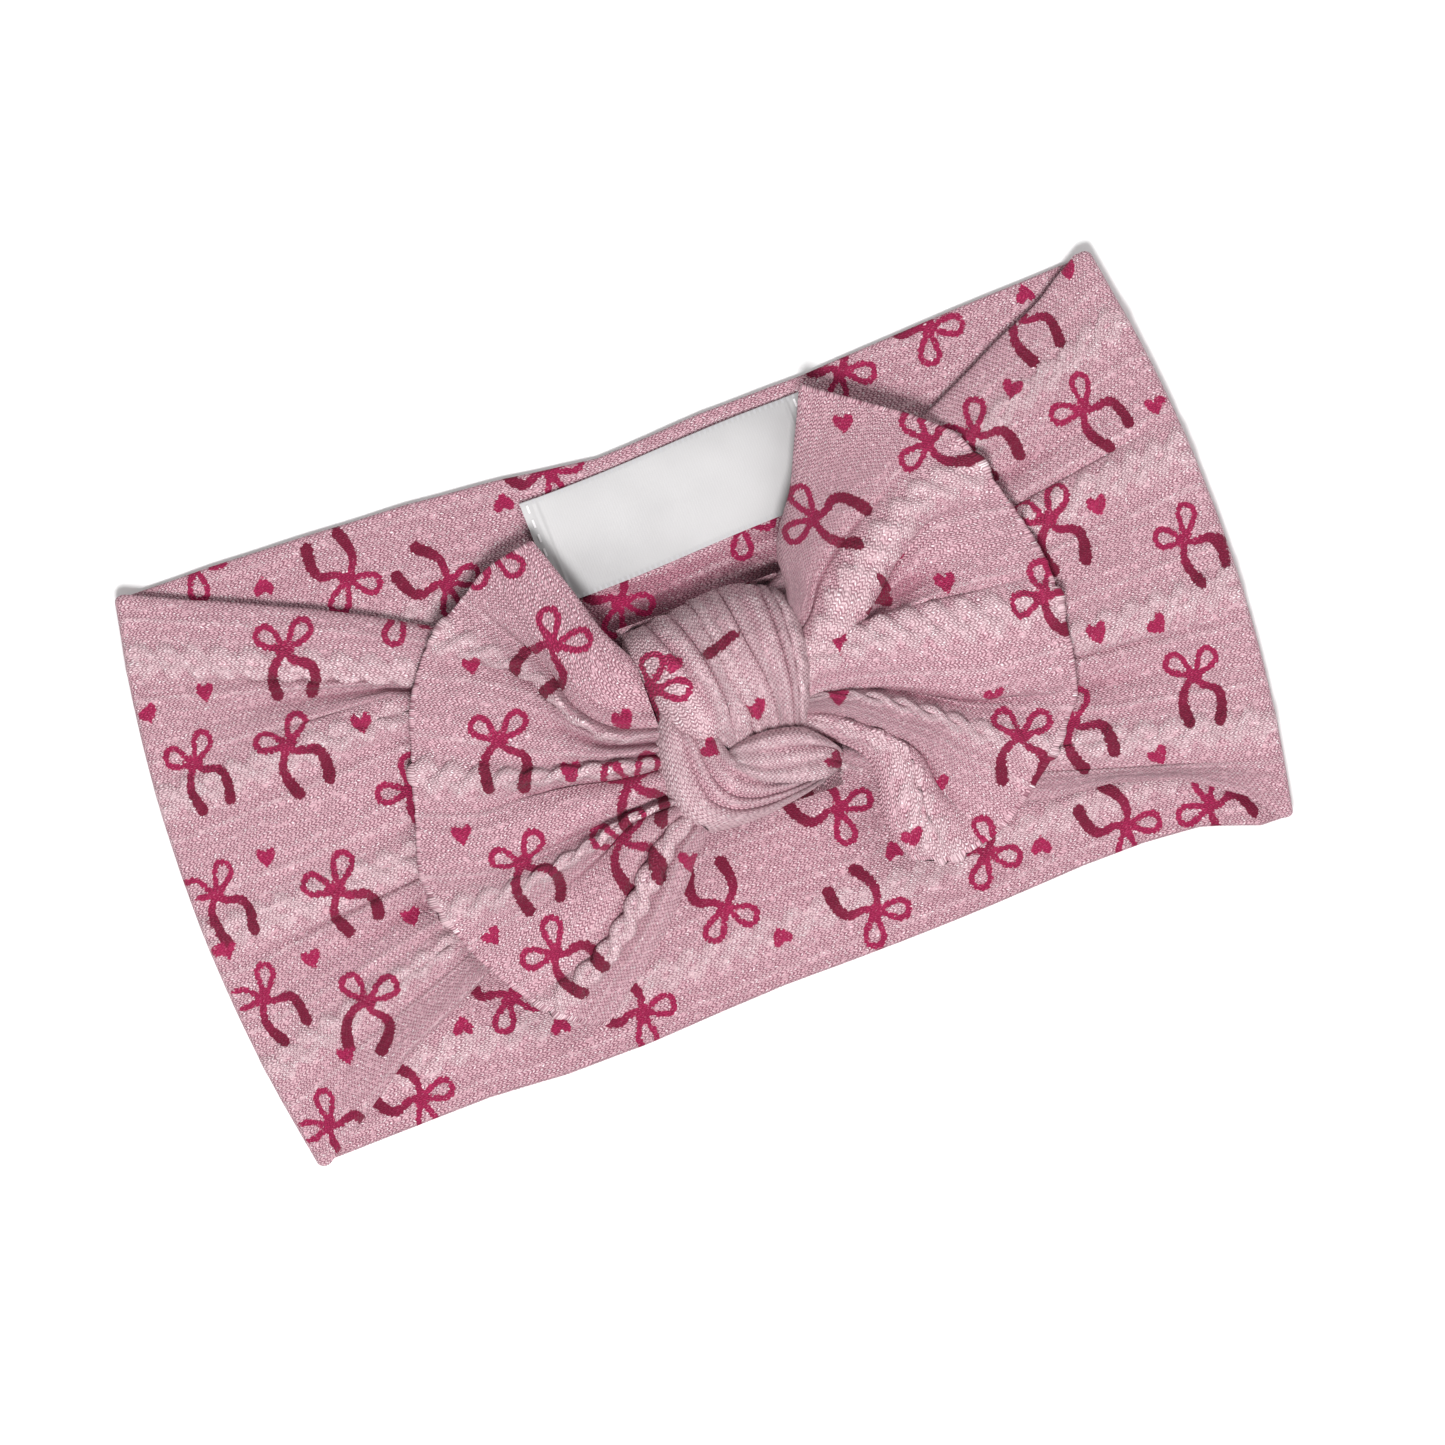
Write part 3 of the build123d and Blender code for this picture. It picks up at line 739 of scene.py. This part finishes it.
# ---- the knot
# Fold lines of the knot's three turns, as for the wings, with depths at 0, 1/3, 2/3 and 1 of their length.
KNOT_UPPER = [
    (0, [(-9.6, 17.8), (-11.3, 13.2), (-11.5, 8), (-11, 3), (-10.2, -1), (-7.5, -6)], (0, 0, 0, 0), 0),
    (8, [(-5.6, 18.2), (-3.9, 14.9), (-1.6, 9.9), (-0.2, 5.5), (0.9, 1.5), (0.2, -8.5)], (1.6, 1.6, 0.9, 0.2), 0.8),
    (14, [(-1.4, 19), (0.4, 15.6), (1.8, 11.9), (3, 7.3), (3.9, 2), (3.2, -10.5)], (1.9, 1.9, 1.1, 0.3), 0.8),
    (21, [(3.3, 19.2), (4.4, 14.5), (5, 10.6), (5.2, 6.4), (5.8, 2.2), (7, -3), (6.6, -9)],
     (1.9, 1.8, 2, 1.9), 0.9),
    (26, [(6.3, 19.8), (7.6, 14.5), (8.3, 9), (8.9, 4), (9.6, -1), (9.2, -9)], (1.1, 0.8, 0.5, 0.5), 0),
    (31, [(8.9, 19.9), (9.8, 16), (10.5, 11.4), (11.1, 7.2), (11.9, 2.6), (12.2, -2.4), (11, -9.6)],
     (1.9, 1.9, 2, 1.9), 0.9),
    (36, [(12.6, 19.8), (13.4, 14.5), (13.9, 9), (14.1, 4), (13.9, -2), (12.4, -9.8)], (1.1, 0.8, 0.5, 0.4), 0),
    (41, [(16.2, 18.6), (16.7, 14), (16.8, 9.1), (16.6, 4.9), (16.1, 0.2), (15.2, -4.2), (13.6, -10)],
     (1.9, 2, 1.9, 1.6), 0.9),
    (46, [(18.6, 17.4), (19.3, 13.4), (19.3, 9), (18.9, 4.4), (17.8, -1.4), (15.2, -10)], (1.3, 1.3, 1, 0.9), 0.6),
    (53, [(20.4, 16), (22.3, 12.4), (22.7, 7.4), (22, 1.6), (19.7, -4.6), (16.8, -10.2)], (0, 0, 0, 0), 0),
]
KNOT_LOBE = [
    (0, [(-10.2, 3), (-11.7, -2), (-13.4, -7.5), (-13.6, -13), (-12.4, -18), (-9.6, -21.2), (-4.6, -22.4), (2, -22.7),
         (8.5, -22), (14, -20.9), (18.6, -19.6)], (0, 0, 0, 0), 0),
    (11, [(-5.5, 2), (-5.6, -4), (-5.9, -9), (-5.7, -13.5), (-4.6, -17), (-1.8, -19.4), (3.6, -20.9), (9, -20.8),
          (14, -20.2), (19, -18.9)], (0.4, 1.5, 1.4, 0.5), 0.6),
    (15, [(-3, -1), (-3.4, -5), (-3.3, -9.5), (-2.6, -13.5), (-0.6, -16.8), (2.5, -18.6), (7, -19.4), (13, -19.4),
          (19.6, -18.2)], (0.6, 1.6, 1.5, 0.8), 0.6),
    (19, [(0, -3), (-0.8, -6), (-0.5, -9.5), (0.8, -12.3), (2.8, -14.6), (5.5, -16.3), (9, -17.5), (14, -18),
          (20, -17.4)], (0.5, 1.2, 1.4, 0.8), 0),
    (25, [(2, -3), (1.2, -6), (1.4, -8.6), (2.8, -10.6), (5.6, -12.5), (9, -13.6), (14, -14.4), (20, -15.6)],
     (0, 0, 0, 0), 0),
]
KNOT_LEAF = [
    (0, [(0.6, -8.8), (3, -8), (6.6, -7.5), (11, -7.6), (15.2, -8.8), (18.2, -11.2), (20.3, -14), (21.3, -17)],
     (0, 0, 0, 0), 0),
    (6.5, [(0.5, -9.6), (4, -10.2), (8.6, -11.2), (13.9, -12.2), (17, -13.2), (20.8, -15.4), (21.2, -17.4)],
     (0.2, 0.8, 1.5, 1.4), 0.7),
    (11, [(0.5, -10.2), (3.6, -12.4), (8, -14.6), (13, -15.6), (17, -16.2), (20.7, -17.8)],
     (0.2, 1.1, 1, 0.8), 0.5),
    (16, [(0.6, -10.8), (2, -13.2), (4.9, -15.9), (9, -17.9), (13.4, -19.2), (17, -19.7), (20, -18.9)],
     (0, 0, 0, 0), 0),
]
KNOT_MOTIFS = placed(
    bow=[(-8, 6.5, -100)],
    heart=[(-3.2, 9.4, -30), (8.6, -3.6, 10), (-1.4, -7.6, 40), (20.5, 18.4, 0), (19.6, -17.5, 20)],
    tail=[(6.4, 9.8, -68)])


def knot_part(name, rows, high, sides, seed, replaced, cable_at, flat_size, braid):
    """One turn of the knot. high is its height along the way; sides say how far its two long edges fall away and
    over what width; braid is the share of the knit's full relief."""
    t = steps(0, 1, STEP_ALONG / 34)
    width = rows[-1][0]
    v = steps(0, width, STEP_ACROSS * 0.8)
    high_t = table(t, high)[:, None]
    near, far = sides
    fall = np.zeros((len(t), len(v)))
    for (depth, reach), d in ((near, v), (far, width - v)):
        fall = fall + depth * (1 - np.clip(d / reach, 0, 1)[None, :]) ** 2.2 * np.clip(high_t - 5, 0, None) / 15
    P, flat, drop, length = from_rows(rows, t, v, [0, 0.33, 0.67, 1], high_t - fall, [1.5] * len(rows), 1.3)
    P[..., 2] += 0.25 * wobble(flat[..., 0], flat[..., 1], seed, 13)
    u = t[:, None] * float(np.mean(length)) + 0 * v[None, :]
    knit_v = v[None, :] - cable_at + 0 * u
    relief, cable = knit_relief(u, knit_v)
    P = lifted(P, braid * relief)
    # Tone: mostly the cable's pale colour, with painted shade deeper in the knot's pleats.
    cable = np.clip(cable, 0, 1) * 0.3 + 0.7 - 0.6 * np.clip(drop - 0.3, 0, 3)
    D, T = painted(flat, KNOT_MOTIFS)
    flip = np.mean(np.cross(np.gradient(P, axis=0), np.gradient(P, axis=1))[..., 2]) < 0
    obj = make_mesh(name, P, u, knit_v, cable, D, T, False, flip)
    knit_piece(obj, flat_size)
    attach(obj, "front_centre")
    if replaced:
        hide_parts(replaced)


def make_knot():
    knot_part("knot_upper_knit", KNOT_UPPER,
              [(0, 6.5), (0.02, 9), (0.05, 12), (0.1, 15), (0.2, 18.2), (0.35, 20.6), (0.5, 21.3), (0.7, 20.4),
               (0.85, 18.4), (0.94, 15.5), (1, 12)], ((14, 7), (14, 6.5)), 3, "knot_upper_turn", 22, (53, 34), 0.30)
    knot_part("knot_lobe_knit", KNOT_LOBE,
              [(0, 13), (0.12, 17.2), (0.3, 17.6), (0.5, 17), (0.7, 15.8), (0.88, 12), (1, 6)], ((15, 8), (3, 5)), 5,
              "knot_lower_turn", 30, (25, 44), 0.12)
    knot_part("knot_leaf_knit", KNOT_LEAF,
              [(0, 13), (0.1, 17.4), (0.3, 19.6), (0.5, 19.8), (0.7, 18.2), (0.88, 14), (1, 7)],
              ((7, 3.4), (4, 3)), 6, None, 12, (17, 27), 0.12)
    # The turn behind the band.
    t, v = steps(0, 1, STEP_ALONG / 50), steps(0, 44, STEP_ACROSS)
    y = 19.0 - 41.0 * t[:, None]
    x = -10.5 + 31.5 * (v / 44)[None, :] - 1.5 * t[:, None]
    high = table(t, [(0, 7), (0.03, 4.4), (0.08, 3.1), (0.5, 2.8), (0.92, 3.1), (0.97, 4.4), (1, 6.5)])[:, None]
    u = 50 * t[:, None] + 0 * x
    knit_v = v[None, :] - 20 + 0 * u
    ripple = 0.35 * np.sin(knit_v * 0.9 + 0.6 * np.sin(3 * t[:, None]))
    relief, cable = knit_relief(u, knit_v)
    P = np.stack([x + 0 * u, y + 0 * u, high + ripple - 0.3 * relief], -1)
    D, T = painted(P[..., :2], HIDDEN_LOW)
    obj = make_mesh("knot_back_knit", P, u, knit_v, cable, D, T, False, True)
    knit_piece(obj, (42, 46))
    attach(obj, "front_centre")
    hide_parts("knot_back_turn")


# ---- the care label
def make_label():
    """A satin strip, folded under and stitched at both ends, lying on the back's inner face."""
    long_, wide, turn = 55.6, 20.0, math.radians(1.9)
    u, v = steps(-long_ / 2, long_ / 2, 0.25 * COARSE), steps(-wide / 2, wide / 2, 0.3 * COARSE)
    U, V = u[:, None] + 0 * v[None, :], v[None, :] + 0 * u[:, None]
    end = long_ / 2 - abs(U)
    hem = 0.16 * smooth(3.3, 2.9, end)
    wave = (0.22 * np.exp(-((U + 9) / 5) ** 2) * smooth(-10, 4, -V) + 0.14 * np.sin(U / 6.5) * (V / 10) ** 2
            + 0.05 * wobble(U, V, 4, 16))
    wave = wave * smooth(0, 7, end)
    seam = -0.10 * np.exp(-((end - 2.2) / 0.35) ** 2)
    middle_x, middle_y = 8.8, 37.9
    x = middle_x + U * math.cos(turn) - V * math.sin(turn)
    y = middle_y + U * math.sin(turn) + V * math.cos(turn) + 0.25 * np.sin(U / 9)
    top = np.stack([x, y, 2.36 + hem + wave + seam], -1)
    bottom = np.stack([x, y, 2.10 + wave], -1)
    edge = smooth(9.1, 9.5, abs(V))
    ring_u, ring_v, ring_edge = around(U, U), around(V, V), keep_first(edge, edge)
    obj = make_mesh("care_label_satin", tube(top, bottom), ring_u, ring_v, ring_edge, 0 * ring_u + FAR, 0 * ring_u,
                    True, False)
    obj.data.materials.append(satin_material())
    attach(obj, "back_centre")
    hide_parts("care_label")
    # The thread pieces are the CAD's own, with a material in each of their slots.
    thread = thread_material()
    for part in bpy.data.objects:
        if part.name.startswith("label_stitches_"):
            for place in part.material_slots:
                place.link = "OBJECT"
                place.material = thread


# ---- materials
def nodes_of(name):
    mat = bpy.data.materials.new(name)
    mat.use_nodes = True
    return mat, mat.node_tree, mat.node_tree.nodes["Principled BSDF"]


class Maths:
    """Short-hand for a tree's Math and Mix nodes."""

    def __init__(self, tree):
        self.tree = tree

    def link(self, value, socket):
        if isinstance(value, (int, float)):
            socket.default_value = value
        elif isinstance(value, tuple):
            socket.default_value = (*value, 1.0)[:4]
        else:
            self.tree.links.new(value, socket)

    def __call__(self, operation, *values):
        node = self.tree.nodes.new("ShaderNodeMath")
        node.operation = operation
        for i, value in enumerate(values):
            self.link(value, node.inputs[i])
        return node.outputs[0]

    def band(self, value, low, high):
        """0 below low and 1 above high, smooth between."""
        node = self.tree.nodes.new("ShaderNodeMapRange")
        node.interpolation_type = "SMOOTHSTEP"
        self.link(value, node.inputs["Value"])
        self.link(low, node.inputs["From Min"])
        self.link(high, node.inputs["From Max"])
        return node.outputs["Result"]

    def mix(self, factor, a, b):
        node = self.tree.nodes.new("ShaderNodeMix")
        node.data_type = "RGBA"
        self.link(factor, node.inputs["Factor"])
        self.link(a, node.inputs[6])
        self.link(b, node.inputs[7])
        return node.outputs[2]

    def attribute(self, name):
        node = self.tree.nodes.new("ShaderNodeAttribute")
        node.attribute_name = name
        split = self.tree.nodes.new("ShaderNodeSeparateXYZ")
        self.tree.links.new(node.outputs["Vector"], split.inputs[0])
        return node.outputs["Vector"], split.outputs

    def noise(self, vector, scale, detail=2.0):
        node = self.tree.nodes.new("ShaderNodeTexNoise")
        node.inputs["Scale"].default_value = scale
        node.inputs["Detail"].default_value = detail
        self.tree.links.new(vector, node.inputs["Vector"])
        return node.outputs["Fac"]

    def bump(self, height, strength, distance, normal=None):
        node = self.tree.nodes.new("ShaderNodeBump")
        node.inputs["Strength"].default_value = strength
        node.inputs["Distance"].default_value = distance
        self.tree.links.new(height, node.inputs["Height"])
        if normal is not None:
            self.tree.links.new(normal, node.inputs["Normal"])
        return node.outputs[0]


def knit_material():
    mat, tree, shader = nodes_of("cable_knit")
    m = Maths(tree)
    # The third value of cloth is the knit's tone: the cable pattern, with painted shade as values below 0.
    cloth, (u, v, cable) = m.attribute("cloth")
    _, (ink, tone, _) = m.attribute("ink")
    # Stitches: staggered rows of small loops, with the gaps between them dark.
    gauge = 0.80
    column = m("DIVIDE", m("MULTIPLY_ADD", m.noise(cloth, 0.30), 1.6, v), gauge)
    row = m("DIVIDE", m("MULTIPLY_ADD", m.noise(cloth, 0.25), 1.0, u), gauge)
    leg = m("ABSOLUTE", m("SUBTRACT", m("FRACT", column), 0.5))
    staggered = m("ADD", m("MULTIPLY_ADD", leg, 1.1, row), m("MULTIPLY", m("FLOOR", column), 0.5))
    loop = m("SINE", m("MULTIPLY", staggered, 2 * math.pi))
    groove = m("SINE", m("MULTIPLY", leg, 2 * math.pi))
    stitch = m("MULTIPLY", m("MULTIPLY_ADD", loop, 0.5, 0.5), m("POWER", groove, 0.5))
    specks = m.noise(cloth, 1.7, 1.0)
    clump = m.noise(cloth, 0.9, 1.0)
    glint = m("MULTIPLY", m.band(specks, 0.55, 0.72), m.band(stitch, 0.25, 0.7))
    hole = m("MULTIPLY", m.band(stitch, 0.46, 0.12), m.band(clump, 0.22, 0.50))
    fibre = m.noise(cloth, 4.5, 1.0)
    broad = m.noise(cloth, 0.06)

    ground = m.mix(broad, (0.630, 0.352, 0.415), (0.678, 0.410, 0.468))
    raised = m.mix(broad, (0.685, 0.465, 0.508), (0.722, 0.510, 0.550))
    base = m.mix(m.band(cable, 0.0, 1.0), ground, raised)
    # Painted shade: tone below 0 (creases, braid valleys, the back's inner face) turns a deeper pink.
    base = m.mix(m("MULTIPLY", m.band(cable, 0.0, -0.7), 0.75), base, (0.400, 0.130, 0.190))
    # Painted shadow: the recess by the knot and the label goes near black.
    base = m.mix(m("MULTIPLY", m.band(cable, -0.8, -1.8), 0.85), base, (0.130, 0.022, 0.045))
    base = m.mix(m("MULTIPLY", hole, m("MULTIPLY_ADD", cable, -0.15, 0.85)), base, (0.155, 0.034, 0.062))
    sparkle = m("MULTIPLY", glint, m("MULTIPLY_ADD", m.band(cable, 0.0, -1.0), -0.5, 0.80))
    base = m.mix(sparkle, base, (0.96, 0.88, 0.90))
    base = m.mix(m("MULTIPLY", m.band(fibre, 0.45, 0.75), 0.16), base, (0.95, 0.88, 0.90))
    ragged = m("ADD", ink, m("MULTIPLY", m("SUBTRACT", specks, 0.5), 0.9))
    covered = m.band(ragged, 0.12, -0.12)
    dye = m.mix(tone, (0.450, 0.010, 0.095), (0.170, 0.000, 0.028))
    dye = m.mix(m("MULTIPLY", glint, m("MULTIPLY_ADD", tone, -0.36, 0.44)), dye, (0.80, 0.28, 0.42))
    dye = m.mix(m("MULTIPLY", hole, 0.5), dye, (0.10, 0.0, 0.012))
    m.link(m.mix(m("MULTIPLY", covered, 0.97), base, dye), shader.inputs["Base Color"])
    m.link(m("MULTIPLY_ADD", stitch, -0.14, 0.78), shader.inputs["Roughness"])
    shader.inputs["Sheen Weight"].default_value = 0.06
    shader.inputs["Sheen Roughness"].default_value = 0.4
    shader.inputs["Specular IOR Level"].default_value = 0.22
    fuzz = m.bump(specks, 0.5, 0.12 * MM)
    m.link(m.bump(stitch, 0.9, 0.22 * MM, fuzz), shader.inputs["Normal"])
    return mat


KNIT = knit_material()


def satin_material():
    mat, tree, shader = nodes_of("satin_label")
    m = Maths(tree)
    cloth, (u, v, edge) = m.attribute("cloth")
    warp = m("SINE", m("MULTIPLY", v, 2 * math.pi / 0.16))
    weft = m("SINE", m("MULTIPLY", u, 2 * math.pi / 0.5))
    weave = m("MULTIPLY_ADD", weft, 0.25, warp)
    # Broad, soft bands of light and shade.
    sweep = m("MULTIPLY_ADD", v, 0.16, m("MULTIPLY_ADD", u, 0.05, m("MULTIPLY", m.noise(cloth, 0.05), 3.0)))
    broad = m("MULTIPLY_ADD", m("SINE", sweep), 0.5, 0.5)
    shade = m.mix(broad, (0.345, 0.337, 0.341), (0.475, 0.465, 0.468))
    dotted = m("MULTIPLY", edge, m.band(m("SINE", m("MULTIPLY", u, 2 * math.pi / 1.1)), -0.2, 0.6))
    m.link(m.mix(m("MULTIPLY", dotted, 0.55), shade, (0.45, 0.45, 0.47)), shader.inputs["Base Color"])
    m.link(m("MULTIPLY_ADD", edge, 0.2, 0.38), shader.inputs["Roughness"])
    shader.inputs["Anisotropic"].default_value = 0.5
    shader.inputs["Sheen Weight"].default_value = 0.15
    m.link(m.bump(m("ADD", weave, m("MULTIPLY", dotted, 3.0)), 0.3, 0.04 * MM), shader.inputs["Normal"])
    return mat


def thread_material():
    mat, tree, shader = nodes_of("thread")
    m = Maths(tree)
    coords = tree.nodes.new("ShaderNodeTexCoord").outputs["Object"]
    twist = m.noise(coords, 4000, 1.0)
    m.link(m.mix(twist, (0.62, 0.60, 0.61), (0.86, 0.84, 0.85)), shader.inputs["Base Color"])
    shader.inputs["Roughness"].default_value = 0.7
    m.link(m.bump(twist, 0.4, 0.05 * MM), shader.inputs["Normal"])
    return mat


make_back()
make_front()
make_fold(-1, "left")
make_fold(1, "right")
make_wing(-1, "left")
make_wing(1, "right")
make_knot()
make_label()
for half in ("back", "front"):
    for word in ("left", "right"):
        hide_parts(f"{half}_{word}_outer_panel")
for word in ("left", "right"):
    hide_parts(f"back_{word}_inner_panel")
    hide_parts(f"front_{word}_inner_panel")
    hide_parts(f"front_{word}_gather")
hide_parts("back_centre_panel")


# ---- stage
def make_stage():
    size = 1.5
    mesh = bpy.data.meshes.new("floor")
    mesh.from_pydata([(-size, -size, 0), (size, -size, 0), (size, size, 0), (-size, size, 0)], [], [(0, 1, 2, 3)])
    floor = add("floor", mesh)
    mat, _, shader = nodes_of("floor")
    shader.inputs["Base Color"].default_value = (0.88, 0.88, 0.88, 1)
    shader.inputs["Roughness"].default_value = 0.9
    mesh.materials.append(mat)
    floor.location.z = -0.2 * MM
    world = bpy.data.worlds.new("studio")
    bpy.context.scene.world = world
    world.use_nodes = True
    world.node_tree.nodes["Background"].inputs[0].default_value = (1, 1, 1, 1)
    world.node_tree.nodes["Background"].inputs[1].default_value = 0.26
    for name, place, size, power in (("key", (-0.20, -0.50, 1.15), 0.34, 19),
                                     ("fill", (0.80, 0.30, 0.95), 0.7, 6)):
        lamp = bpy.data.lights.new(name, "AREA")
        lamp.size, lamp.energy = size, power
        obj = add(name, lamp)
        obj.location = place
        obj.rotation_euler = Vector([-c for c in place]).to_track_quat("-Z", "Y").to_euler()


def make_camera():
    """Straight down. frame_width is the width of the picture on the floor."""
    height, frame_width, sensor, roll = 2.2, 0.2676, 36, 19.9
    cam = bpy.data.cameras.new("camera")
    cam.sensor_width = sensor
    cam.lens = sensor * height / frame_width
    obj = add("camera", cam)
    obj.location = (2.3 * MM, -3.7 * MM, height)
    obj.rotation_euler = (0, 0, -math.radians(roll))
    bpy.context.scene.camera = obj


make_stage()
make_camera()
bpy.context.scene.view_settings.view_transform = "Standard"
